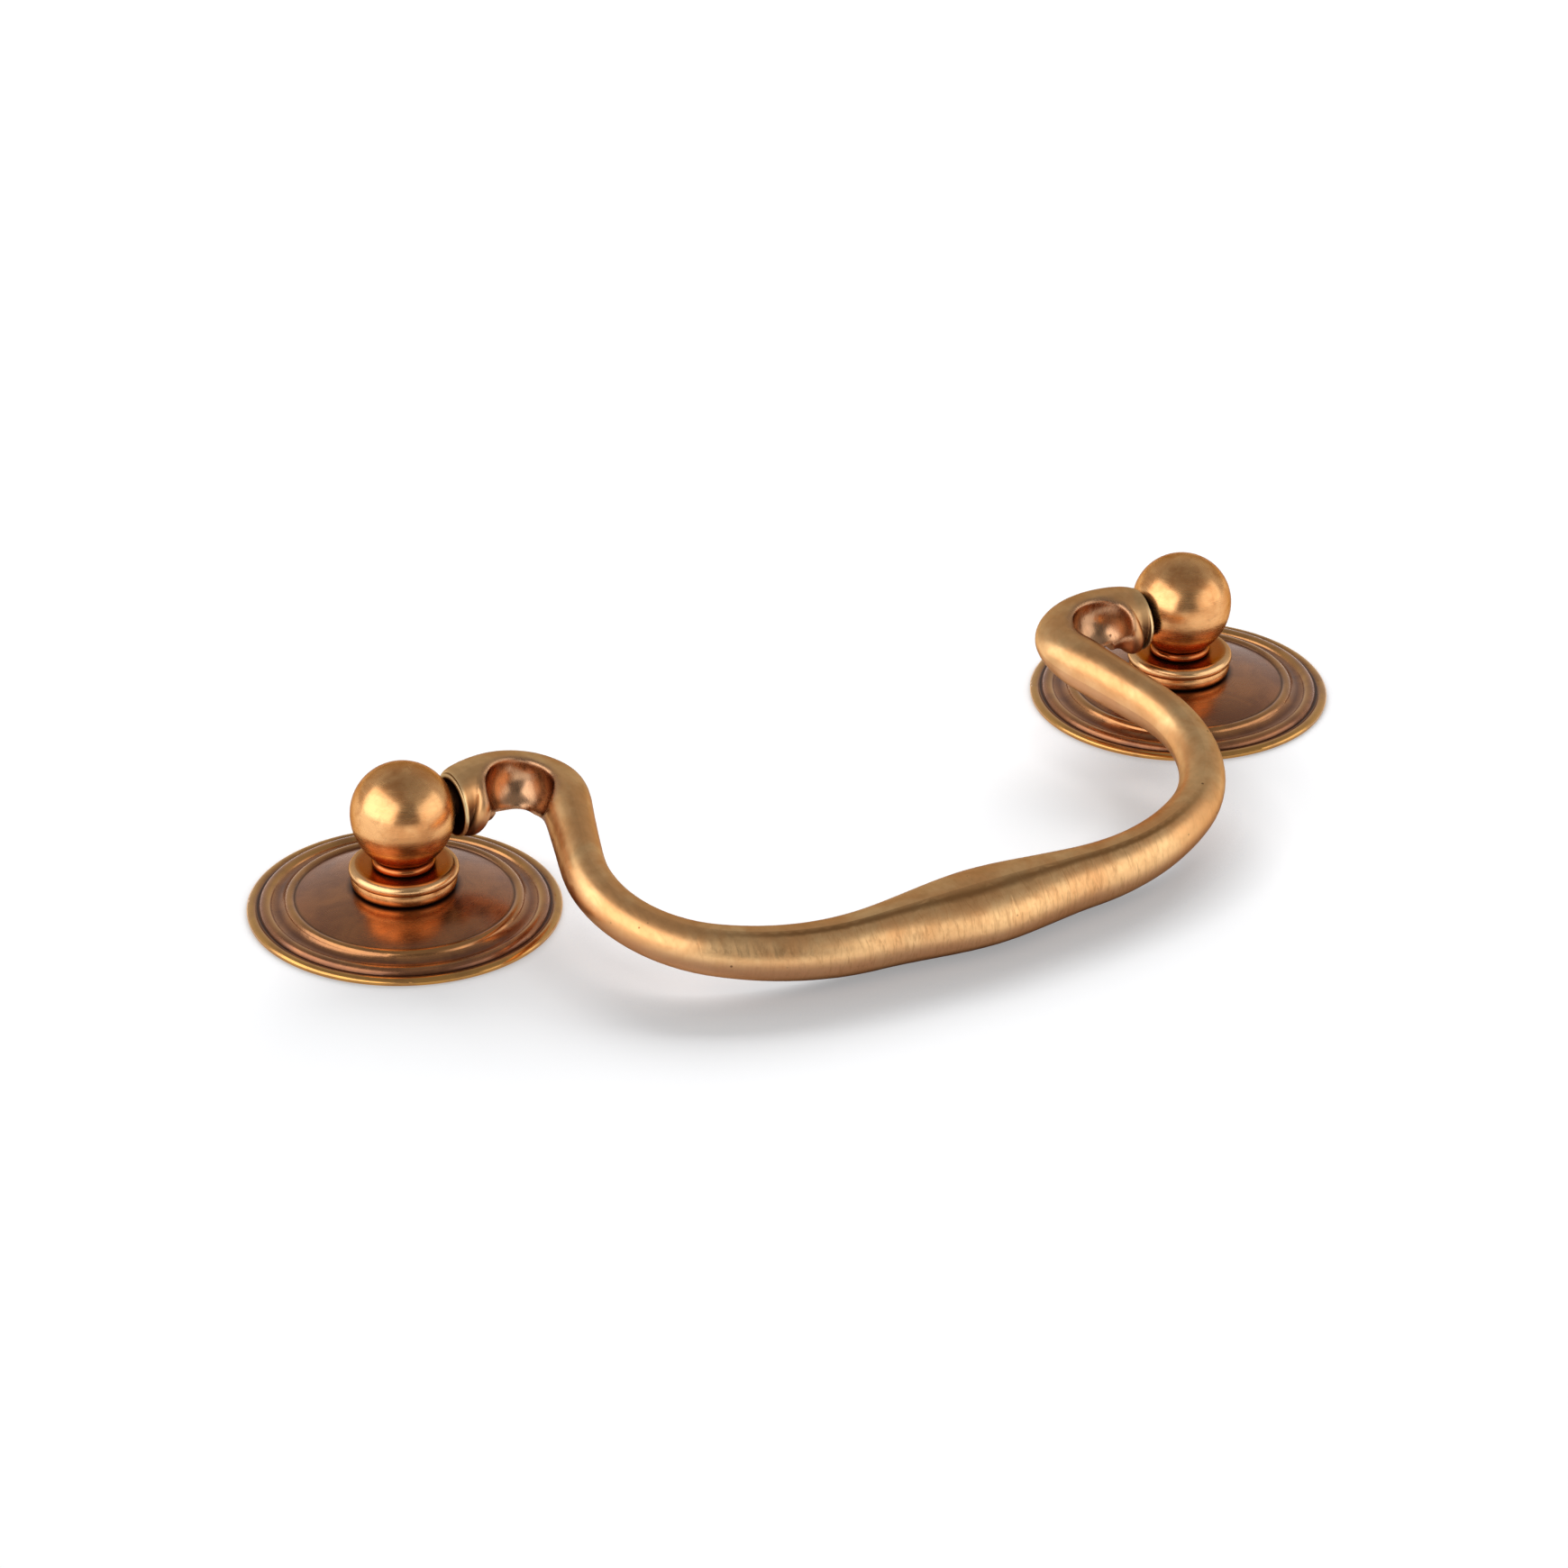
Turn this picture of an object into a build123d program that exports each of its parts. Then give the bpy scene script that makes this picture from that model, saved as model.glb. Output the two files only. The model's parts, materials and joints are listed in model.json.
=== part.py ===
from build123d import *
from math import asin, cos, degrees, radians, sin, sqrt
import os

os.makedirs("parts", exist_ok=True)

# Swan-neck drop handle for a drawer, in brass. Millimetres, +Z up.
# The roses lie on the XY plane, which is the drawer front. The origin is midway between
# the two posts, X runs from the left post to the right one, and the bail hangs towards -Y.

# Fixing
post_spacing = 96.0
screw_hole_radius = 1.65
screw_hole_depth = 7.2

# Rose, the round moulded plate under each post
rose_radius = 16.3
rose_seat_radius = 5.2
rose_seat_height = 2.72
field_radius = 11.35
field_height = 1.38
field_crown = 0.16
bead_width = 1.05
bead_outer_height = 1.16
bead_rise = 0.34
cove_width = 1.3
cove_floor_height = 0.72
cove_sag = 0.2
ring_width = 1.35
ring_height = 1.08
edge_groove_width = 0.3
edge_groove_height = 0.5
edge_height = 0.62
rim_height = 0.31
spigot_clearance = 0.05

# Post, turned with a ball head. The lower half of the ball runs into the neck on an arc
# of its own, larger than the ball.
spigot_radius = 2.6
foot_radius = 5.38
foot_chamfer = 0.25
foot_bulge = 0.12
foot_height = 1.35
collar_radius = 5.72
collar_roll = 0.66
collar_dish = 0.25
dish_sag = 0.1
neck_bead_radius = 3.3
neck_bead_roll = 0.5
neck_radius = 2.89
ball_radius = 5.42
ball_skirt_radius = 6.2

# Pivot between the bail and the posts
pin_radius = 1.9
pin_clearance = 0.05
pin_length = 4.2
pin_tip_chamfer = 0.35
pin_end_room = 0.4
end_play = 0.17

# Heel, the moulded end of the bail that faces the ball: a lip, and a ridge with a hollow
# tail. The ridge leans, so that the groove between them is a wedge, closed underneath.
heel_drop = 0.78
heel_lip_radius = 3.36
heel_lip_width = 0.45
heel_lip_round = 0.3
heel_core_radius = 2.85
heel_ridge_place = 2.1
heel_ridge_lean = 18.0
heel_ridge_radius = 3.65
heel_ridge_roll = 1.0
heel_tail_hollow = 1.5
heel_tail_radius = 2.1

# Pocket scooped out of the inner side of the crook by a ball-nosed cutter. Its centre is
# measured from the crook's centre: along the pivot axis, towards it, and above the bail.
pocket_radius = 3.7
pocket_shift = 1.0
pocket_reach = 1.75
pocket_lift = 1.5

# Bail, followed from the left heel to the middle of the grip
entry_dip = 25.0
entry_radius = 10.5
crook_start = 11.0
crook_radius = 5.3
limb_lean = 109.0
limb_length = 8.4
corner_radius = 14.9
corner_turn = 76.0
shoulder_radius = 28.5

# Bail sections, each as the width in the plane of the bail and the thickness across it
root_length = 4.0
heel_section = (5.8, 5.7)
root_section = (6.5, 5.9)
crook_section = (7.6, 4.8)
neck_section = (5.2, 5.8)
corner_section = (4.8, 5.0)
shoulder_section = (6.35, 6.5)
grip_section = (9.2, 7.0)
section_spacing = 2.4


# Places that follow from the sizes above
half_spacing = post_spacing / 2
heel_face = half_spacing - ball_radius - end_play
pin_hole_depth = pin_length - end_play + pin_end_room
spigot_hole_radius = spigot_radius + spigot_clearance

bead_outer = field_radius + bead_width
ring_inner = bead_outer + cove_width
ring_outer = ring_inner + ring_width
edge_inner = ring_outer + edge_groove_width

foot_base = rose_seat_height
foot_top = foot_base + foot_height
collar_centre_radius = collar_radius - collar_roll
collar_centre_height = foot_top + collar_roll * cos(radians(30))
collar_top = collar_centre_height + collar_roll
dish_height = collar_top - collar_dish
neck_centre_radius = neck_bead_radius - neck_bead_roll
neck_centre_height = dish_height + neck_bead_roll
neck_top = neck_centre_height + neck_bead_roll
skirt_reach = neck_radius + ball_skirt_radius - ball_radius
pivot_height = neck_top + sqrt(ball_skirt_radius**2 - skirt_reach**2)


def rose_profile():
    """Half section of a rose: domed field, bead, cove, raised ring and thin edge."""
    Polyline(
        (rose_seat_radius, rose_seat_height),
        (spigot_hole_radius, rose_seat_height),
        (spigot_hole_radius, 0),
        (rose_radius, 0),
        (rose_radius, rim_height),
    )
    field_edge = (field_radius, field_height)
    bead_edge = (bead_outer, bead_outer_height)
    cove_edge = (ring_inner, cove_floor_height)
    ring_crest = ((ring_inner + ring_outer) / 2, ring_height)
    ring_edge = (ring_outer, edge_groove_height)
    groove_edge = (edge_inner, edge_groove_height)
    edge_crest = ((edge_inner + rose_radius) / 2, edge_height)
    SagittaArc((rose_seat_radius, rose_seat_height), field_edge, field_crown)
    SagittaArc(field_edge, bead_edge, bead_rise)
    SagittaArc(bead_edge, cove_edge, -cove_sag)
    ThreePointArc(cove_edge, ring_crest, ring_edge)
    Line(ring_edge, groove_edge)
    ThreePointArc(groove_edge, edge_crest, (rose_radius, rim_height))


def post_profile():
    """Half section of a post: spigot, foot, rolled collar, neck bead and ball."""
    foot_start = (foot_radius, foot_base + foot_chamfer)
    foot_end = (collar_centre_radius + collar_roll / 2, foot_top)
    collar_crest = (collar_centre_radius, collar_top)
    dish_edge = (neck_centre_radius, dish_height)
    neck_edge = (neck_radius, neck_top)
    ball_side = (ball_radius, pivot_height)
    ball_top = (0, pivot_height + ball_radius)
    Polyline(
        ball_top,
        (0, 0),
        (spigot_radius, 0),
        (spigot_radius, foot_base),
        (foot_radius - foot_chamfer, foot_base),
        foot_start,
    )
    SagittaArc(foot_start, foot_end, -foot_bulge)
    ThreePointArc(foot_end, (collar_radius, collar_centre_height), collar_crest)
    SagittaArc(collar_crest, dish_edge, dish_sag)
    ThreePointArc(dish_edge, (neck_bead_radius, neck_centre_height), neck_edge)
    RadiusArc(neck_edge, ball_side, -ball_skirt_radius)
    RadiusArc(ball_side, ball_top, -ball_radius)


for side, inward in (("left", 1), ("right", -1)):
    post_x = -inward * half_spacing
    post_axis = Axis((post_x, 0, 0), (0, 0, 1))
    section_plane = Plane(origin=(post_x, 0, 0), x_dir=(1, 0, 0), z_dir=(0, -1, 0))

    with BuildPart() as rose:
        with BuildSketch(section_plane):
            with BuildLine():
                rose_profile()
            make_face()
        revolve(axis=post_axis)
    rose.part.label = f"rose_{side}"
    export_step(rose.part, f"parts/rose_{side}.step")

    # The pin hole is drilled into the ball from the side that faces the other post
    pin_hole_floor = Plane(
        origin=(post_x + inward * (ball_radius - pin_hole_depth), 0, pivot_height),
        z_dir=(inward, 0, 0),
    )
    with BuildPart() as post:
        with BuildSketch(section_plane):
            with BuildLine():
                post_profile()
            make_face()
        revolve(axis=post_axis)
        with BuildSketch(Plane((post_x, 0, 0))):
            Circle(screw_hole_radius)
        extrude(amount=screw_hole_depth, mode=Mode.SUBTRACT)
        with BuildSketch(pin_hole_floor):
            Circle(pin_radius + pin_clearance)
        extrude(amount=ball_radius, mode=Mode.SUBTRACT)
    post.part.label = f"post_{side}"
    export_step(post.part, f"parts/post_{side}.step")


# Centre line of the left half of the bail, drawn flat: X along the pivot axis, and Y from
# the grip towards the pivot axis.
entry_direction = (cos(radians(entry_dip)), sin(radians(entry_dip)))
with BuildLine() as half_bail:
    entry = JernArc((-heel_face, 0), entry_direction, entry_radius, -entry_dip - crook_start)
    crook = JernArc(entry @ 1, entry % 1, crook_radius, crook_start - limb_lean)
    limb = PolarLine(crook @ 1, limb_length, direction=crook % 1)
    corner = JernArc(limb @ 1, limb % 1, corner_radius, corner_turn)
    shoulder = JernArc(corner @ 1, corner % 1, shoulder_radius, limb_lean - corner_turn)
    grip = Line(shoulder @ 1, (0, (shoulder @ 1).Y))
swan_neck = half_bail.wire()
half_length = swan_neck.length

crook_place = entry.length + crook.length / 2
limb_place = entry.length + crook.length
corner_place = limb_place + limb.length + corner.length / 2
shoulder_place = half_length - grip.length
stations = (
    (0, heel_section),
    (root_length, root_section),
    (crook_place, crook_section),
    (limb_place, neck_section),
    (corner_place, corner_section),
    (shoulder_place, shoulder_section),
    (half_length, grip_section),
)


def station_slope(index, size):
    """Rate of change of one section size at a station, level at both ends."""
    if index in (0, len(stations) - 1):
        return 0
    place_before, section_before = stations[index - 1]
    place_after, section_after = stations[index + 1]
    return (section_after[size] - section_before[size]) / (place_after - place_before)


def section_size(place, size):
    """One section size at a place along the half bail, eased through the stations."""
    index = 0
    while index < len(stations) - 2 and place > stations[index + 1][0]:
        index += 1
    start, start_section = stations[index]
    end, end_section = stations[index + 1]
    span = end - start
    t = (place - start) / span
    ease = t * t * (3 - 2 * t)
    return (
        start_section[size] * (1 - ease)
        + end_section[size] * ease
        + station_slope(index, size) * span * t * (1 - t) ** 2
        - station_slope(index + 1, size) * span * t**2 * (1 - t)
    )


# The bail lies with its grip on the drawer front. The sine of its slope solves the height
# of the lowest point of the grip's oval, seen from the pivot axis.
grip_reach = -(grip @ 0).Y
grip_half_width = grip_section[0] / 2
grip_half_depth = grip_section[1] / 2
oval_term = grip_reach**2 - grip_half_width**2 + grip_half_depth**2
drop_term = pivot_height * grip_reach
slope_sine = drop_term - sqrt(
    drop_term**2 - oval_term * (pivot_height**2 - grip_half_depth**2)
)
bail_slope = asin(slope_sine / oval_term)
bail_plane = Plane(
    origin=(0, 0, pivot_height),
    x_dir=(1, 0, 0),
    z_dir=(0, -sin(bail_slope), cos(bail_slope)),
)


def section_plane_at(place):
    """Plane across the bail at a place along its left half."""
    point = swan_neck.position_at(place, position_mode=PositionMode.LENGTH)
    along = swan_neck.tangent_at(place, position_mode=PositionMode.LENGTH)
    if place == 0:
        # The first section stands square to the pivot, inside the heel's lip
        point = Vector(heel_lip_width / 2 - heel_face, 0)
        along = Vector(1, 0)
    forward = bail_plane.x_dir * along.X + bail_plane.y_dir * along.Y
    return Plane(
        origin=bail_plane.from_local_coords(Vector(point.X, point.Y)),
        x_dir=bail_plane.z_dir.cross(forward),
        z_dir=forward,
    )


span_count = round(half_length / section_spacing)
places = [half_length * index / span_count for index in range(span_count + 1)]

heel_centre = bail_plane.from_local_coords(Vector(-heel_face, 0, -heel_drop))
ridge_centre = heel_centre + bail_plane.x_dir * heel_ridge_place
lean = radians(heel_ridge_lean)
ridge_direction = bail_plane.x_dir * cos(lean) - bail_plane.z_dir * sin(lean)
lip_plane = Plane(origin=heel_centre, x_dir=bail_plane.x_dir, z_dir=-bail_plane.y_dir)
ridge_plane = Plane(origin=ridge_centre, x_dir=ridge_direction, z_dir=-bail_plane.y_dir)
pin_plane = Plane(origin=(-heel_face, 0, pivot_height), x_dir=(1, 0, 0), z_dir=(0, -1, 0))
pocket_x = crook.arc_center.X + pocket_shift
pocket_y = crook.arc_center.Y + pocket_reach
pocket_centre = bail_plane.from_local_coords(Vector(pocket_x, pocket_y, pocket_lift))

# The ridge's round and the tail's hollow touch where the line between their centres cuts
# them
ridge_round_radius = heel_ridge_radius - heel_ridge_roll
tail_rise = heel_tail_radius + heel_tail_hollow - ridge_round_radius
tail_angle = degrees(asin(tail_rise / (heel_ridge_roll + heel_tail_hollow)))
tail_run = (heel_ridge_roll + heel_tail_hollow) * cos(radians(tail_angle))

# The left half is made whole, and the right half is its mirror image
with BuildPart() as bail:
    with BuildSketch(lip_plane) as lip:
        with BuildLine():
            Polyline(
                (0, 0),
                (0, heel_lip_radius),
                (heel_lip_width, heel_lip_radius),
                (heel_lip_width, heel_core_radius),
                (heel_ridge_place, heel_core_radius),
                (heel_ridge_place, 0),
                close=True,
            )
        make_face()
        lip_corner = lip.vertices().group_by(Axis.X)[0].sort_by(Axis.Y)[-1]
        fillet(lip_corner, heel_lip_round)
    revolve(axis=Axis(heel_centre, bail_plane.x_dir))
    with BuildSketch(ridge_plane):
        with BuildLine():
            tail_end = (tail_run, heel_tail_radius)
            round_centre = (0, ridge_round_radius)
            ridge = CenterArc(round_centre, heel_ridge_roll, tail_angle, 180 - tail_angle)
            RadiusArc(tail_end, ridge @ 0, heel_tail_hollow)
            Polyline(ridge @ 1, (-heel_ridge_roll, 0), (tail_run, 0), tail_end)
        make_face()
    revolve(axis=Axis(ridge_centre, ridge_direction))
    with BuildSketch(pin_plane):
        with BuildLine():
            Polyline(
                (heel_lip_width, 0),
                (heel_lip_width, pin_radius),
                (pin_tip_chamfer - pin_length, pin_radius),
                (-pin_length, pin_radius - pin_tip_chamfer),
                (-pin_length, 0),
                close=True,
            )
        make_face()
    revolve(axis=Axis((0, 0, pivot_height), (1, 0, 0)))
    for place in places:
        with BuildSketch(section_plane_at(place)):
            Ellipse(section_size(place, 0) / 2, section_size(place, 1) / 2)
    loft()
    with Locations(pocket_centre):
        Sphere(pocket_radius, mode=Mode.SUBTRACT)
    mirror(about=Plane.YZ)
bail.part.label = "bail"
export_step(bail.part, "parts/bail.step")
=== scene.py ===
import json
import math

import bpy
from bpy.props import FloatProperty, FloatVectorProperty, PointerProperty
from mathutils import Matrix, Vector


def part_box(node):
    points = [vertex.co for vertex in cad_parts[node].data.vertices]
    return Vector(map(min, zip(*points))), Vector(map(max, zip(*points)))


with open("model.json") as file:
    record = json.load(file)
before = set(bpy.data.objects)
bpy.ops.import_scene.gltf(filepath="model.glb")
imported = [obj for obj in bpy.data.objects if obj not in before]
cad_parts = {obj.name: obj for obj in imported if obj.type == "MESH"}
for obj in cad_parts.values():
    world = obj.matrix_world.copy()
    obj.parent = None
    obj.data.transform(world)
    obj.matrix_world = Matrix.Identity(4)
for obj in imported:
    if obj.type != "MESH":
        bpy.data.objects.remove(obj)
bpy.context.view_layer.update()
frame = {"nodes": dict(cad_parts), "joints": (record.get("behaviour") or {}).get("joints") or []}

bl_info = {
    "name": "Swan-neck drop handle",
    "version": (1, 0, 0),
    "blender": (4, 5, 0),
    "location": "3D View > Sidebar > Handle",
    "description": "Finishes a brass drop handle: two roses, two ball-headed posts and a bail",
    "category": "Object",
}

MILLIMETRE = 0.001

# Places read from the frame, in metres
ROSE_LOW, ROSE_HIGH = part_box("rose_left")
POST_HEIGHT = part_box("post_left")[1].z
BAIL_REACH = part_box("bail")[1].x
POST_PLACE = -(ROSE_LOW.x + ROSE_HIGH.x) / 2
POST_AXIS = (POST_PLACE, 0.0, 0.0)
ROSE_RADIUS = (ROSE_HIGH.x - ROSE_LOW.x) / 2
PIVOT_HEIGHT = frame["joints"][0]["pos_m"][2]
BALL_RADIUS = POST_HEIGHT - PIVOT_HEIGHT
GRIP_REACH = 0.6 * BAIL_REACH

# The moulded heel beside each ball, as seen on the right one
END_PLAY = 0.17 * MILLIMETRE
HEEL_FACE = POST_PLACE - BALL_RADIUS - END_PLAY
HEEL_HEIGHT = PIVOT_HEIGHT - 0.78 * MILLIMETRE
HEEL_LIP_WIDTH = 0.45 * MILLIMETRE
HEEL_LIP_RADIUS = 3.36 * MILLIMETRE
HEEL_RIDGE_PLACE = HEEL_FACE - 2.1 * MILLIMETRE

# The pocket in the inner side of each crook, as seen on the right one
POCKET_RADIUS = 3.75 * MILLIMETRE
POCKET_PLACE = (35.98 * MILLIMETRE, -2.92 * MILLIMETRE, 11.96 * MILLIMETRE)

# The rolled collar round each post, the dish inside it and the neck that stands in the dish
COLLAR_ROLL_RADIUS = 5.06 * MILLIMETRE
COLLAR_ROLL_HEIGHT = 4.64 * MILLIMETRE
COLLAR_TOP = 5.30 * MILLIMETRE
DISH_HEIGHT = 5.05 * MILLIMETRE
NECK_HEIGHT = 5.60 * MILLIMETRE

# The stage: the point that the lamps look at, how far round the handle shadow is painted on the floor,
# and how much of its white is the floor's own
LAMP_TARGET = (0.0, 0.0, 10 * MILLIMETRE)
PAINTED_SHADOW_REACH = 9 * MILLIMETRE
FLOOR_OWN_WHITE = 0.31

# Directions: out of the front of the grip where it was brushed, forwards along the slope at
# which the bail lies, and towards the camera's side of the room
BRUSHED_SIDE = (0.0, -0.94, 0.34)
BAIL_FORWARDS = (0.0, -0.978, -0.208)
CAMERA_SIDE = (-0.268, -0.932, 0.242)


def linear_colour(hex_colour):
    """An sRGB hex colour as a linear colour with alpha."""
    channels = []
    for start in (1, 3, 5):
        value = int(hex_colour[start:start + 2], 16) / 255
        channels.append(value / 12.92 if value <= 0.04045 else ((value + 0.055) / 1.055) ** 2.4)
    return (*channels, 1.0)


def add_node(tree, kind, sockets=None, **settings):
    """Adds a node with its settings, and gives its sockets a value or a link."""
    node = tree.nodes.new(kind)
    for name, value in settings.items():
        setattr(node, name, value)
    for key, value in (sockets or {}).items():
        if isinstance(value, bpy.types.NodeSocket):
            tree.links.new(value, node.inputs[key])
        else:
            node.inputs[key].default_value = value
    return node


def set_stops(ramp_node, stops):
    """Gives a colour ramp its stops, each a position and a neutral brightness."""
    ramp = ramp_node.color_ramp
    while len(ramp.elements) > 1:
        ramp.elements.remove(ramp.elements[-1])
    for index, (position, brightness) in enumerate(stops):
        element = ramp.elements[0] if index == 0 else ramp.elements.new(position)
        element.position = position
        element.color = (brightness, brightness, brightness, 1.0)


def mottle(tree, place, size, detail=3.0, distortion=0.0, stretch=(1.0, 1.0, 1.0)):
    """Noise whose blotches are about size metres across."""
    scaled = add_node(tree, "ShaderNodeMapping", {"Vector": place, "Scale": stretch})
    noise = add_node(
        tree,
        "ShaderNodeTexNoise",
        {
            "Vector": scaled.outputs[0],
            "Scale": 1 / size,
            "Detail": detail,
            "Roughness": 0.6,
            "Distortion": distortion,
        },
    )
    return noise.outputs["Fac"]


def graded(tree, *limits, least=0.0, most=1.0):
    """A value that grows from least to most as all its limits are met. A limit is what it
    measures, where it isn't met at all and where it is met in full, eased in between."""
    for measure, unmet, met in limits:
        step = add_node(
            tree,
            "ShaderNodeMapRange",
            {"Value": measure, "From Min": unmet, "From Max": met, "To Min": least, "To Max": most},
            interpolation_type="SMOOTHSTEP",
        )
        most = step.outputs["Result"]
    return most


def where_all(tree, share, *others):
    """The share of a point that lies in all of these areas at once: their product."""
    for other in others:
        share = add_node(tree, "ShaderNodeMath", {0: share, 1: other}, operation="MULTIPLY").outputs[0]
    return share


def where_any(tree, share, *others):
    """The share of a point that lies in any of these areas: the largest of them."""
    for other in others:
        share = add_node(tree, "ShaderNodeMath", {0: share, 1: other}, operation="MAXIMUM").outputs[0]
    return share


def changed_by(tree, value, *changes):
    """A value after its changes, each an area and what is added to the value there."""
    for share, amount in changes:
        value = add_node(
            tree, "ShaderNodeMath", {0: share, 1: amount, 2: value}, operation="MULTIPLY_ADD"
        ).outputs[0]
    return value


def lay_coats(tree, colour, *coats):
    """Lays coats of colour over a first colour, in order, each with the area that it covers."""
    for share, coat in coats:
        layer = add_node(tree, "ShaderNodeMix", {0: share, 6: colour, 7: coat}, data_type="RGBA")
        colour = layer.outputs[2]
    return colour


def raise_marks(tree, normal, *marks):
    """Lays marks over a surface, in order. A mark is its pattern, its strength and its depth in
    metres, and one whose depth is below zero is cut inwards."""
    for pattern, strength, depth in marks:
        sockets = {"Height": pattern, "Strength": strength, "Distance": abs(depth)}
        if normal is not None:
            sockets["Normal"] = normal
        normal = add_node(tree, "ShaderNodeBump", sockets, invert=depth < 0).outputs["Normal"]
    return normal


def new_brass(name):
    """An empty brass, its node tree, its shader and its object coordinates."""
    material = bpy.data.materials.new(name)
    material.use_nodes = True
    tree = material.node_tree
    tree.nodes.clear()
    shader = add_node(tree, "ShaderNodeBsdfPrincipled", {"Metallic": 1.0})
    add_node(tree, "ShaderNodeOutputMaterial", {"Surface": shader.outputs["BSDF"]})
    place = add_node(tree, "ShaderNodeTexCoord").outputs["Object"]
    return material, tree, shader, place


def give_material(node_names, material):
    """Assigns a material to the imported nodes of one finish."""
    for name in node_names:
        piece = frame["nodes"][name]
        piece.data.materials.clear()
        piece.data.materials.append(material)


def folded_place(tree, place):
    """A place with the left half folded over on to the right, where the twin forms are described,
    and its distance from the middle and its height."""
    parts = add_node(tree, "ShaderNodeSeparateXYZ", {0: place})
    across = add_node(tree, "ShaderNodeMath", {0: parts.outputs["X"]}, operation="ABSOLUTE").outputs[0]
    height = parts.outputs["Z"]
    folded = add_node(tree, "ShaderNodeCombineXYZ", {"X": across, "Y": parts.outputs["Y"], "Z": height})
    return folded.outputs[0], across, height


def distance_from(tree, place, point, along=(1.0, 1.0, 1.0)):
    """Distance from a point, measured along the axes whose share is 1. With one axis left out
    it is the distance from a line along that axis."""
    measured = add_node(tree, "ShaderNodeVectorMath", {0: place, 1: along}, operation="MULTIPLY")
    distance = add_node(
        tree, "ShaderNodeVectorMath", {0: measured.outputs[0], 1: point}, operation="DISTANCE"
    )
    return distance.outputs["Value"]


def brushed_area(tree, normal, across):
    """Where the brush ran: the front of the grip, and less on the necks."""
    facing = add_node(tree, "ShaderNodeVectorMath", {0: normal, 1: BRUSHED_SIDE}, operation="DOT_PRODUCT")
    in_front = graded(tree, (facing.outputs["Value"], 0.35, 0.8), least=0.10)
    on_grip = graded(tree, (across, 0.95 * GRIP_REACH, 0.6 * GRIP_REACH), least=0.25)
    return where_all(tree, in_front, on_grip)


def casting_pits(tree, place):
    """Pits about 0.2 mm across and 1.6 mm apart, in a few places only."""
    cells = add_node(
        tree,
        "ShaderNodeTexVoronoi",
        {"Vector": place, "Scale": 1 / (1.6 * MILLIMETRE), "Randomness": 1.0},
    )
    spread = mottle(tree, place, 3.5 * MILLIMETRE, 1.0)
    return graded(tree, (spread, 0.58, 0.66), (cells.outputs["Distance"], 0.12, 0.05), most=0.7)


def underside_tarnish_and_shade(tree, normal, clouds):
    """The underside, with a ragged edge: partly tarnish where hands don't rub it, partly painted shade
    that dims its reflection of the floor.
    """
    facets = add_node(tree, "ShaderNodeSeparateXYZ", {0: normal})
    lean = changed_by(tree, facets.outputs["Z"], (clouds, 0.25))
    return graded(tree, (lean, 0.405, -0.225), most=0.75)


def painted_crease_shade(tree, normal, blotches, across):
    """Painted shade along the line where the grip's top meets its front, a little wavy."""
    facing = add_node(tree, "ShaderNodeVectorMath", {0: normal, 1: BAIL_FORWARDS}, operation="DOT_PRODUCT")
    forward = changed_by(tree, facing.outputs["Value"], (blotches, 0.06))
    return graded(
        tree,
        (across, 1.25 * GRIP_REACH, 0.70 * GRIP_REACH),
        (forward, 0.05, 0.18),
        (forward, 0.37, 0.21),
        most=0.75,
    )


def pocket_area(tree, place, folded):
    """The pocket of either crook, fading out within 1.3 mm of its rim."""
    reach = distance_from(tree, folded, POCKET_PLACE)
    fade = mottle(tree, place, 0.8 * MILLIMETRE, 2.0)
    ragged = changed_by(tree, reach, (fade, 0.6 * MILLIMETRE))
    return graded(tree, (ragged, POCKET_RADIUS + 1.3 * MILLIMETRE, POCKET_RADIUS))


def heel_end_face(tree, folded, across):
    """The end face of each heel inside its lip, turned towards the ball, where shade is painted."""
    radius = distance_from(tree, folded, (0.0, 0.0, HEEL_HEIGHT), along=(0.0, 1.0, 1.0))
    return graded(
        tree,
        (across, HEEL_FACE - 0.22 * MILLIMETRE, HEEL_FACE - 0.06 * MILLIMETRE),
        (radius, HEEL_LIP_RADIUS - 0.15 * MILLIMETRE, HEEL_LIP_RADIUS - 0.45 * MILLIMETRE),
    )


def heel_groove(tree, across, height):
    """The groove between the lip and the ridge of each heel, where shade is painted, most of all below the
    pivot.
    """
    below_pivot = graded(
        tree,
        (height, PIVOT_HEIGHT + 2.5 * MILLIMETRE, PIVOT_HEIGHT - 1.0 * MILLIMETRE),
        least=0.1,
        most=0.85,
    )
    lip_edge = HEEL_FACE - HEEL_LIP_WIDTH
    return graded(
        tree,
        (across, HEEL_RIDGE_PLACE + 0.5 * MILLIMETRE, HEEL_RIDGE_PLACE + 1.0 * MILLIMETRE),
        (across, lip_edge, lip_edge - 0.25 * MILLIMETRE),
        most=below_pivot,
    )


def painted_lip_highlight(tree, across, height, end_face):
    """A painted highlight on the lip of each heel, fainter near its top."""
    beside_ball = graded(tree, (across, HEEL_FACE - 0.55 * MILLIMETRE, HEEL_FACE - 0.30 * MILLIMETRE))
    round_face = where_any(tree, changed_by(tree, beside_ball, (end_face, -1.0)), 0.0)
    low_down = graded(tree, (height, PIVOT_HEIGHT + 3.0 * MILLIMETRE, PIVOT_HEIGHT), least=0.2)
    return where_all(tree, round_face, low_down)


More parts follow.
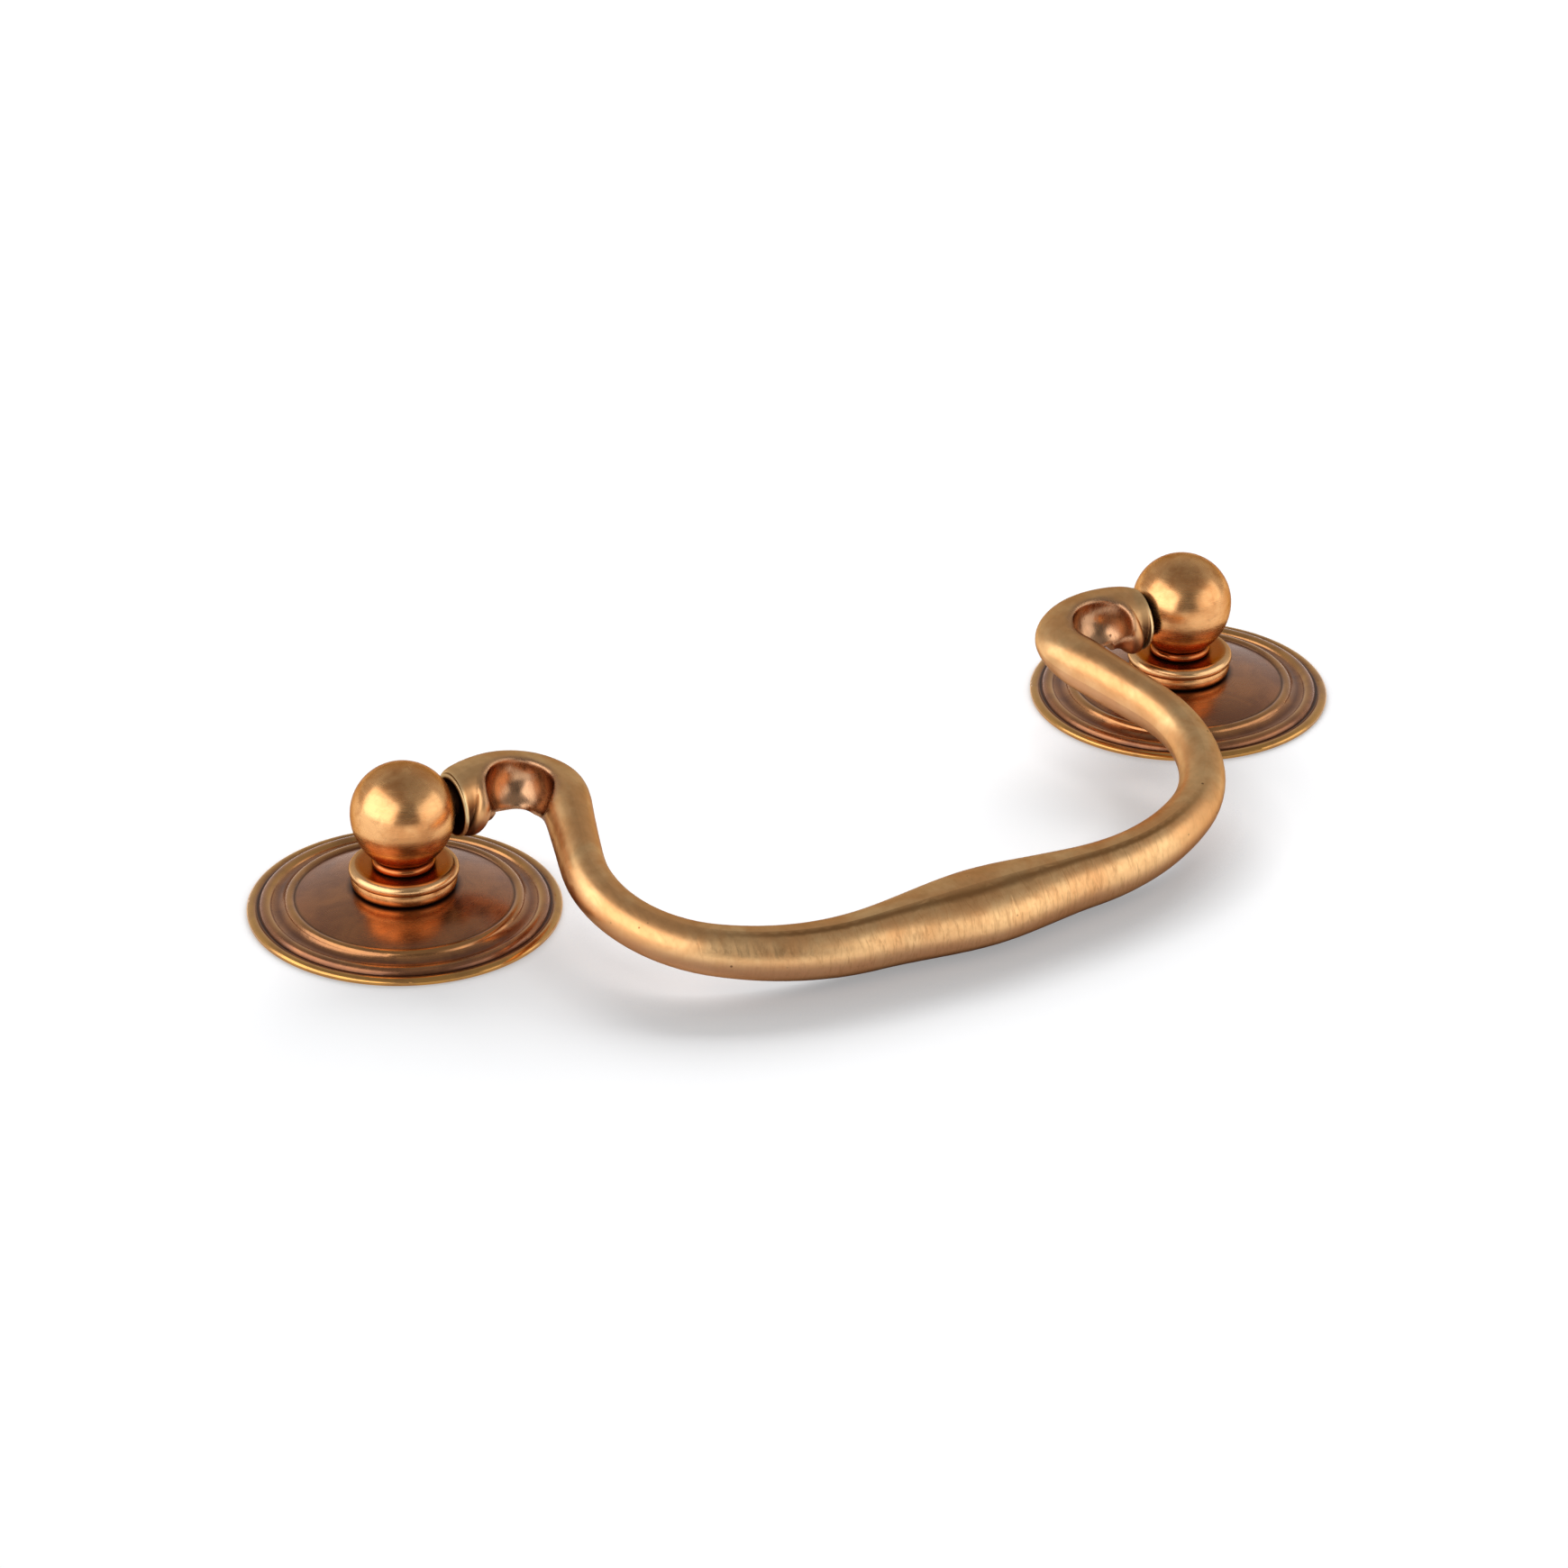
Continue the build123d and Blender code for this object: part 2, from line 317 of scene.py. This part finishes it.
def satin_antique_brass(finish):
    """Cast brass, filed and brushed across: soft highlights broken by fine cross scratches, with
    browner brass underneath, partly tarnish where hands don't rub it and partly painted shade, small dark
    casting pits, painted shade in its corners and grooves and a painted highlight on each heel's lip."""
    material, tree, shader, place = new_brass("satin_antique_brass")
    normal = add_node(tree, "ShaderNodeTexCoord").outputs["Normal"]
    folded, across, height = folded_place(tree, place)
    blotches = mottle(tree, place, 6.0 * MILLIMETRE, 4.0, 0.4)
    clouds = mottle(tree, place, 1.2 * MILLIMETRE, 3.0)

    # Brush marks 0.4 mm apart, as coarse as they need to show, and a few deeper ones
    brushed = brushed_area(tree, normal, across)
    brushing = mottle(tree, place, 0.4 * MILLIMETRE, 3.0, 0.8, (1.0, 0.22, 0.22))
    gouges = mottle(tree, place, 0.9 * MILLIMETRE, 1.0, 0.2, (1.0, 0.12, 0.12))
    deep = graded(tree, (gouges, 0.66, 0.74), most=brushed)
    scratches = where_all(tree, graded(tree, (brushing, 0.45, 0.7), most=0.35), brushed)

    # Dark casting pits, and painted shade in the corners, in the grooves of the heels and on their
    # end faces, with little of the corner shade in the pockets
    pits = casting_pits(tree, place)
    pocket = pocket_area(tree, place, folded)
    recess = add_node(tree, "ShaderNodeAmbientOcclusion", {"Distance": 2.6 * MILLIMETRE}, samples=4)
    corner_shade_limit = changed_by(tree, 1.0, (pocket, -0.9))
    corner_shade = graded(tree, (recess.outputs["AO"], 0.72, 0.30), most=corner_shade_limit)
    end_face = heel_end_face(tree, folded, across)
    pits_and_painted_shade = where_any(tree, corner_shade, pits, end_face, heel_groove(tree, across, height))
    lip_highlight = painted_lip_highlight(tree, across, height, end_face)

    colour = lay_coats(
        tree,
        tuple(finish.bail_shade),
        (graded(tree, (blotches, 0.36, 0.66)), tuple(finish.bail_brass)),
        (graded(tree, (clouds, 0.35, 0.75), most=0.25), linear_colour("#C08A55")),
        # browner brass underneath: partly tarnish, partly painted shade
        (underside_tarnish_and_shade(tree, normal, clouds), linear_colour("#C08A68")),
        # painted shade along the crease of the grip
        (painted_crease_shade(tree, normal, blotches, across), linear_colour("#8E6238")),
        (pocket, linear_colour("#C89874")),
        # dark casting pits, and painted shade in the corners, the heel grooves and on the end faces
        (pits_and_painted_shade, linear_colour("#4A2815")),
        # painted highlight on the lips of the heels
        (lip_highlight, linear_colour("#FFE4AC")),
        # painted shade on the end faces of the heels
        (end_face, linear_colour("#26140B")),
        (scratches, linear_colour("#A8764A")),
    )
    tree.links.new(colour, shader.inputs["Base Color"])
    grain = graded(
        tree,
        (brushing, 0.3, 0.7),
        least=finish.bail_roughness - 0.05,
        most=finish.bail_roughness + 0.07,
    )
    rough = changed_by(tree, grain, (pits_and_painted_shade, 0.18), (pocket, -0.15))
    tree.links.new(rough, shader.inputs["Roughness"])
    shader.inputs["Specular Tint"].default_value = linear_colour("#A89C94")

    # Wear rounded the rim of each pocket by about a millimetre and the other edges by less
    edge_radius = graded(tree, (pocket, 0.0, 0.3), least=0.08 * MILLIMETRE, most=1.0 * MILLIMETRE)
    worn_edges = add_node(tree, "ShaderNodeBevel", {"Radius": edge_radius}, samples=8)
    surface = raise_marks(
        tree,
        worn_edges.outputs[0],
        (mottle(tree, place, 3.2 * MILLIMETRE, 2.0), 0.30, 0.06 * MILLIMETRE),
        (where_all(tree, brushing, brushed), 0.7, 0.012 * MILLIMETRE),
        (where_any(tree, deep, pits), 0.8, -0.02 * MILLIMETRE),
    )
    tree.links.new(surface, shader.inputs["Normal"])
    return material


def burnished_antique_brass(finish):
    """Turned brass, burnished on the lathe and left to darken: smoother than the bail, with
    faint rings round the axis and red-brown tarnish in the neck and under the ball."""
    material, tree, shader, place = new_brass("burnished_antique_brass")
    folded, _, height = folded_place(tree, place)
    radius = distance_from(tree, folded, POST_AXIS, along=(1.0, 1.0, 0.0))
    blotches = mottle(tree, place, 3.0 * MILLIMETRE, 4.0, 0.5)
    spots = mottle(tree, place, 1.1 * MILLIMETRE, 3.0, 0.6)

    # Tarnish by height, as a share of the post's own: where the foot meets the rose, and in the
    # neck, fading out under the ball
    share = add_node(tree, "ShaderNodeMath", {0: height, 1: POST_HEIGHT}, operation="DIVIDE")
    tarnish = add_node(tree, "ShaderNodeValToRGB", {0: share.outputs[0]})
    set_stops(tarnish, (
        (0.00, 1.0),
        (0.175, 0.75),
        (0.20, 0.10),
        (0.31, 0.10),
        (0.33, 0.60),
        (0.39, 0.50),
        (0.43, 0.10),
        (0.50, 0.0),
    ))

    # The dish keeps a redder tarnish, the crest of the roll round it is rubbed bright and
    # carries a painted highlight, and shade is painted in the corners
    dish = graded(
        tree,
        (height, DISH_HEIGHT - 0.20 * MILLIMETRE, DISH_HEIGHT),
        (radius, COLLAR_ROLL_RADIUS + 0.04 * MILLIMETRE, COLLAR_ROLL_RADIUS - 0.56 * MILLIMETRE),
        (height, NECK_HEIGHT + 1.6 * MILLIMETRE, NECK_HEIGHT),
        most=0.85,
    )
    roll_wear_and_highlight = graded(
        tree,
        (radius, COLLAR_ROLL_RADIUS - 0.16 * MILLIMETRE, COLLAR_ROLL_RADIUS + 0.14 * MILLIMETRE),
        (height, COLLAR_ROLL_HEIGHT - 0.44 * MILLIMETRE, COLLAR_ROLL_HEIGHT - 0.04 * MILLIMETRE),
        (height, COLLAR_TOP + 0.5 * MILLIMETRE, COLLAR_TOP + 0.1 * MILLIMETRE),
        most=0.6,
    )
    recess = add_node(tree, "ShaderNodeAmbientOcclusion", {"Distance": 0.9 * MILLIMETRE}, samples=4)
    corner_shade = graded(tree, (recess.outputs["AO"], 0.75, 0.20))
    colour = lay_coats(
        tree,
        tuple(finish.post_shade),
        (graded(tree, (blotches, 0.32, 0.68)), tuple(finish.post_brass)),
        (graded(tree, (spots, 0.54, 0.74), most=0.25), linear_colour("#8A5232")),
        (tarnish.outputs[0], linear_colour("#B8642E")),
        (dish, linear_colour("#C8703C")),
        # rubbed crest of the roll with a painted highlight
        (roll_wear_and_highlight, linear_colour("#FFD098")),
        # painted shade in the corners
        (corner_shade, linear_colour("#3E1D0E")),
    )
    tree.links.new(colour, shader.inputs["Base Color"])

    # Lathe rings 0.2 mm apart, as coarse as they need to show
    rings = mottle(tree, place, 0.2 * MILLIMETRE, 2.0, 0.1, (0.06, 0.06, 1.0))
    grain = graded(
        tree,
        (rings, 0.3, 0.7),
        least=finish.post_roughness - 0.03,
        most=finish.post_roughness + 0.03,
    )
    tree.links.new(changed_by(tree, grain, (corner_shade, 0.25)), shader.inputs["Roughness"])
    shader.inputs["Specular Tint"].default_value = linear_colour("#B8A090")
    surface = raise_marks(
        tree,
        None,
        (mottle(tree, place, 2.2 * MILLIMETRE, 2.0), 0.4, 0.05 * MILLIMETRE),
        (rings, 0.25, 0.004 * MILLIMETRE),
    )
    tree.links.new(surface, shader.inputs["Normal"])
    return material


def patinated_brass(finish):
    """Spun brass sheet, chemically aged to a red-brown gloss and rubbed back on its raised
    rings: dark in each groove, partly from patina and partly from painted shade, gold on the bead, the
    ring and the thin edge."""
    material, tree, shader, place = new_brass("patinated_brass")
    folded = folded_place(tree, place)[0]
    radius = distance_from(tree, folded, POST_AXIS, along=(1.0, 1.0, 0.0))
    share = add_node(tree, "ShaderNodeMath", {0: radius, 1: ROSE_RADIUS}, operation="DIVIDE")

    # Rubbed brass by distance from the axis, as a share of the rose's radius
    rubbed = add_node(tree, "ShaderNodeValToRGB", {0: share.outputs[0]})
    set_stops(rubbed, (
        (0.36, 0.10),
        (0.60, 0.05),
        (0.675, 0.0),
        (0.70, 0.25),
        (0.73, 0.60),
        (0.76, 0.25),
        (0.80, 0.0),
        (0.835, 0.15),
        (0.86, 0.80),
        (0.88, 0.45),
        (0.905, 0.05),
        (0.93, 0.0),
        (0.945, 0.35),
        (0.965, 1.0),
    ))

    # Dark grooves by the same measure, partly patina and partly painted shade: round the post's
    # foot, where it is a painted shadow, inside the bead, in the cove and outside the raised ring
    groove_patina_and_shade = add_node(tree, "ShaderNodeValToRGB", {0: share.outputs[0]})
    set_stops(groove_patina_and_shade, (
        (0.33, 1.0),
        (0.355, 0.35),
        (0.375, 0.0),
        (0.680, 0.0),
        (0.696, 0.65),
        (0.712, 0.0),
        (0.765, 0.0),
        (0.80, 0.35),
        (0.838, 0.0),
        (0.910, 0.0),
        (0.930, 0.9),
        (0.946, 0.0),
    ))
    blotches = mottle(tree, place, 4.0 * MILLIMETRE, 4.0, 0.6)
    film = lay_coats(
        tree,
        tuple(finish.rose_shade),
        (graded(tree, (blotches, 0.34, 0.68)), tuple(finish.rose_patina)),
    )
    wear = where_all(tree, rubbed.outputs[0], graded(tree, (blotches, 0.25, 0.6), least=0.55))
    colour = lay_coats(
        tree,
        film,
        (wear, tuple(finish.rose_brass)),
        # patina and painted shade in the grooves
        (groove_patina_and_shade.outputs[0], linear_colour("#2E1810")),
    )
    tree.links.new(colour, shader.inputs["Base Color"])

    # Turning marks 0.15 mm apart and longer polishing streaks, as coarse as they need to show
    turning = add_node(
        tree,
        "ShaderNodeTexNoise",
        {"W": radius, "Scale": 1 / (0.15 * MILLIMETRE), "Detail": 2.0, "Roughness": 0.6},
        noise_dimensions="1D",
    )
    streaks = mottle(tree, place, 0.5 * MILLIMETRE, 2.0, 0.4, (0.15, 1.0, 1.0))
    marks = changed_by(tree, 0.0, (turning.outputs["Fac"], 0.5), (streaks, 0.5))
    grain = graded(
        tree,
        (marks, 0.35, 0.65),
        least=finish.rose_roughness - 0.04,
        most=finish.rose_roughness + 0.05,
    )
    rough = changed_by(tree, grain, (groove_patina_and_shade.outputs[0], 0.25), (wear, -0.08))
    tree.links.new(rough, shader.inputs["Roughness"])
    surface = raise_marks(
        tree,
        None,
        (mottle(tree, place, 3.0 * MILLIMETRE, 2.0), 0.3, 0.04 * MILLIMETRE),
        (marks, 0.14, 0.006 * MILLIMETRE),
    )
    tree.links.new(surface, shader.inputs["Normal"])

    # The gloss of the film
    shader.inputs["Coat Weight"].default_value = 0.4
    shader.inputs["Coat Roughness"].default_value = 0.18
    return material


class HandleFinish(bpy.types.PropertyGroup):
    """Colours and gloss of the three brass finishes."""

    bail_brass: FloatVectorProperty(
        name="Bail brass", description="Rubbed brass of the bail", subtype="COLOR", size=4,
        default=linear_colour("#FBCB90"), min=0, max=1,
    )
    bail_shade: FloatVectorProperty(
        name="Bail shade", description="Browner brass of the bail", subtype="COLOR", size=4,
        default=linear_colour("#EDB176"), min=0, max=1,
    )
    bail_roughness: FloatProperty(
        name="Bail roughness", description="Mean roughness of the bail", subtype="FACTOR",
        default=0.37, min=0, max=1,
    )
    post_brass: FloatVectorProperty(
        name="Post brass", description="Burnished brass of the posts", subtype="COLOR", size=4,
        default=linear_colour("#F5BA7D"), min=0, max=1,
    )
    post_shade: FloatVectorProperty(
        name="Post shade", description="Tarnished brass of the posts", subtype="COLOR", size=4,
        default=linear_colour("#DA985F"), min=0, max=1,
    )
    post_roughness: FloatProperty(
        name="Post roughness", description="Mean roughness of the posts", subtype="FACTOR",
        default=0.27, min=0, max=1,
    )
    rose_brass: FloatVectorProperty(
        name="Rose brass", description="Rubbed brass on the raised rings", subtype="COLOR", size=4,
        default=linear_colour("#E0A558"), min=0, max=1,
    )
    rose_patina: FloatVectorProperty(
        name="Rose patina", description="Red-brown film on the field", subtype="COLOR", size=4,
        default=linear_colour("#B9794F"), min=0, max=1,
    )
    rose_shade: FloatVectorProperty(
        name="Rose shade", description="Darker film on the field", subtype="COLOR", size=4,
        default=linear_colour("#9A6446"), min=0, max=1,
    )
    rose_roughness: FloatProperty(
        name="Rose roughness", description="Mean roughness of the roses", subtype="FACTOR",
        default=0.25, min=0, max=1,
    )


class HandleStudio(bpy.types.PropertyGroup):
    """The floor and the camera."""

    floor_radius: FloatProperty(
        name="Floor radius", description="Radius of the pale floor", unit="LENGTH", default=3.0, min=0.2,
    )
    floor_colour: FloatVectorProperty(
        name="Floor colour", description="Colour of the floor", subtype="COLOR", size=4,
        default=linear_colour("#F0F1F3"), min=0, max=1,
    )
    camera_azimuth: FloatProperty(
        name="Camera azimuth", description="Turn of the camera about the up axis", subtype="ANGLE",
        default=math.radians(-30.924),
    )
    camera_elevation: FloatProperty(
        name="Camera elevation", description="Height angle of the camera", subtype="ANGLE",
        default=math.radians(28.353),
    )
    camera_roll: FloatProperty(
        name="Camera roll", description="Roll of the camera about its view line", subtype="ANGLE",
        default=math.radians(0.3815),
    )
    camera_distance: FloatProperty(
        name="Camera distance", description="Distance from the origin along the view line",
        unit="LENGTH", default=0.68243, min=0.05,
    )
    camera_right: FloatProperty(
        name="Camera right", description="Shift of the camera to its right", unit="LENGTH",
        default=-0.002116,
    )
    camera_up: FloatProperty(
        name="Camera up", description="Shift of the camera upwards", unit="LENGTH", default=0.001225,
    )
    camera_lens: FloatProperty(
        name="Focal length", description="Focal length in mm on a 36 mm sensor", default=146.9, min=10,
    )


def face_point(place, target):
    """Matrix at a place whose -Z axis looks at a target."""
    turn = (Vector(target) - Vector(place)).to_track_quat("-Z", "Y")
    return Matrix.Translation(place) @ turn.to_matrix().to_4x4()


def add_softbox(name, width, height, bearing, distance, centre_height, radiance, shown=True):
    """A rectangular lamp that stands at a bearing from +X, in degrees, and looks at the handle.
    Brass shows it and the floor isn't lit by it, or the other way about if it isn't shown."""
    lamp = bpy.data.lights.new(name, "AREA")
    lamp.shape = "RECTANGLE"
    lamp.size = width
    lamp.size_y = height
    lamp.energy = radiance * math.pi * width * height
    holder = bpy.data.objects.new(name, lamp)
    bpy.context.scene.collection.objects.link(holder)
    turn = math.radians(bearing)
    place = (distance * math.cos(turn), distance * math.sin(turn), centre_height)
    holder.matrix_world = face_point(place, LAMP_TARGET)
    holder.visible_glossy = shown
    holder.visible_diffuse = not shown
    holder.visible_camera = False


class HANDLE_OT_stage(bpy.types.Operator):
    """Makes the pale floor, the soft lamps, the room light and the camera."""

    bl_idname = "handle.stage"
    bl_label = "Stage"

    def execute(self, context):
        studio = context.scene.handle_studio
        bpy.ops.object.select_all(action="DESELECT")
        bpy.ops.mesh.primitive_circle_add(
            vertices=96, radius=studio.floor_radius, fill_type="NGON", location=(0, 0, 0)
        )
        floor = context.active_object
        floor.name = "floor"
        floor.data.materials.append(self.floor_material(studio))
        self.add_lamps()
        self.add_room(context.scene)
        self.add_camera(context.scene, studio)
        context.scene.view_settings.view_transform = "Standard"
        return {"FINISHED"}

    @staticmethod
    def floor_material(studio):
        """Matt white card. A little of its white is its own, so that it reads as white beside
        the handle's shadow, and brass shows it as white too. Close to the handle its colour is
        darkened to grey: a painted contact shadow."""
        material = bpy.data.materials.new("matt_white_card")
        material.use_nodes = True
        tree = material.node_tree
        tree.nodes.clear()
        corner = add_node(tree, "ShaderNodeAmbientOcclusion", {"Distance": PAINTED_SHADOW_REACH}, samples=4)
        painted_shadow = graded(tree, (corner.outputs["AO"], 1.0, 0.84), most=0.36)
        # painted shadow: the card's colour greys close to the handle
        colour = lay_coats(tree, tuple(studio.floor_colour), (painted_shadow, linear_colour("#606468")))
        card = add_node(tree, "ShaderNodeBsdfDiffuse", {"Color": colour})
        rays = add_node(tree, "ShaderNodeLightPath")
        seen_by = ("Is Camera Ray", "Is Glossy Ray", "Is Transmission Ray")
        own_white = changed_by(tree, 0.0, *((rays.outputs[ray], FLOOR_OWN_WHITE) for ray in seen_by))
        glow = add_node(tree, "ShaderNodeEmission", {"Strength": own_white})
        white = add_node(tree, "ShaderNodeAddShader", {0: card.outputs[0], 1: glow.outputs[0]})
        add_node(tree, "ShaderNodeOutputMaterial", {"Surface": white.outputs[0]})
        return material

    @staticmethod
    def add_lamps():
        """Two low softboxes that the brass shows either side of the camera, and a low wide one
        behind that lights only the floor and casts the handle's shadow forwards."""
        add_softbox(
            "softbox_left", width=1.35, height=0.74,
            bearing=181.0, distance=0.70, centre_height=0.37, radiance=1.6,
        )
        add_softbox(
            "softbox_right", width=1.00, height=0.46,
            bearing=312.0, distance=0.70, centre_height=0.25, radiance=0.9,
        )
        add_softbox(
            "softbox_back", width=2.6, height=1.1,
            bearing=59.0, distance=2.2, centre_height=1.3, radiance=8.6, shown=False,
        )

    @staticmethod
    def add_room(scene):
        """Room light: brighter near the horizon, dark overhead and towards the camera's side."""
        world = bpy.data.worlds.new("studio_room")
        world.use_nodes = True
        tree = world.node_tree
        tree.nodes.clear()
        direction = add_node(tree, "ShaderNodeTexCoord").outputs["Generated"]
        parts = add_node(tree, "ShaderNodeSeparateXYZ", {0: direction})
        upwards = add_node(tree, "ShaderNodeValToRGB", {0: parts.outputs["Z"]})
        set_stops(upwards, (
            (0.0, 0.72),
            (0.35, 0.64),
            (0.62, 0.52),
            (0.82, 0.38),
            (1.0, 0.32),
        ))
        toward = add_node(
            tree, "ShaderNodeVectorMath", {0: direction, 1: CAMERA_SIDE}, operation="DOT_PRODUCT"
        )
        beside_camera = graded(tree, (toward.outputs["Value"], 0.96, 0.70), least=0.32)
        light = where_all(tree, upwards.outputs[0], beside_camera)
        background = add_node(tree, "ShaderNodeBackground", {"Strength": light})
        add_node(tree, "ShaderNodeOutputWorld", {"Surface": background.outputs[0]})
        scene.world = world

    @staticmethod
    def add_camera(scene, studio):
        """The camera at the photograph's viewing angle, for a square image."""
        azimuth = studio.camera_azimuth
        elevation = studio.camera_elevation
        roll_wear_and_highlight = studio.camera_roll
        back = Vector((
            math.sin(azimuth) * math.cos(elevation),
            -math.cos(azimuth) * math.cos(elevation),
            math.sin(elevation),
        ))
        level = Vector((math.cos(azimuth), math.sin(azimuth), 0))
        upright = back.cross(level)
        right = math.cos(roll_wear_and_highlight) * level + math.sin(roll_wear_and_highlight) * upright
        up = back.cross(right)
        place = back * studio.camera_distance + level * studio.camera_right + upright * studio.camera_up
        camera = bpy.data.cameras.new("camera")
        camera.sensor_width = 36.0
        camera.lens = studio.camera_lens
        camera.clip_start = 0.01
        holder = bpy.data.objects.new("camera", camera)
        scene.collection.objects.link(holder)
        turn = Matrix((right, up, back)).transposed().to_4x4()
        holder.matrix_world = Matrix.Translation(place) @ turn
        scene.camera = holder


class HANDLE_OT_roses(bpy.types.Operator):
    """Gives both roses their patinated brass."""

    bl_idname = "handle.roses"
    bl_label = "Roses"

    def execute(self, context):
        give_material(("rose_left", "rose_right"), patinated_brass(context.scene.handle_finish))
        return {"FINISHED"}


class HANDLE_OT_posts(bpy.types.Operator):
    """Gives both posts their burnished brass."""

    bl_idname = "handle.posts"
    bl_label = "Posts"

    def execute(self, context):
        give_material(("post_left", "post_right"), burnished_antique_brass(context.scene.handle_finish))
        return {"FINISHED"}


class HANDLE_OT_bail(bpy.types.Operator):
    """Gives the bail its satin brass."""

    bl_idname = "handle.bail"
    bl_label = "Bail"

    def execute(self, context):
        give_material(("bail",), satin_antique_brass(context.scene.handle_finish))
        return {"FINISHED"}


class HANDLE_PT_panel(bpy.types.Panel):
    """Lists the steps and the sizes and colours that a user would change."""

    bl_idname = "HANDLE_PT_panel"
    bl_label = "Drop handle"
    bl_space_type = "VIEW_3D"
    bl_region_type = "UI"
    bl_category = "Handle"

    def draw(self, context):
        column = self.layout.column(align=True)
        for operator in OPERATORS:
            column.operator(operator.bl_idname)
        for group in (context.scene.handle_finish, context.scene.handle_studio):
            box = self.layout.box()
            for name in group.__annotations__:
                box.prop(group, name)


OPERATORS = (HANDLE_OT_stage, HANDLE_OT_roses, HANDLE_OT_posts, HANDLE_OT_bail)
CLASSES = (HandleFinish, HandleStudio, *OPERATORS, HANDLE_PT_panel)


def register():
    for item in CLASSES:
        bpy.utils.register_class(item)
    bpy.types.Scene.handle_finish = PointerProperty(type=HandleFinish)
    bpy.types.Scene.handle_studio = PointerProperty(type=HandleStudio)


def unregister():
    del bpy.types.Scene.handle_studio
    del bpy.types.Scene.handle_finish
    for item in reversed(CLASSES):
        bpy.utils.unregister_class(item)


def main():
    register()
    bpy.ops.handle.stage()
    bpy.ops.handle.roses()
    bpy.ops.handle.posts()
    bpy.ops.handle.bail()


if __name__ == "__main__":
    main()
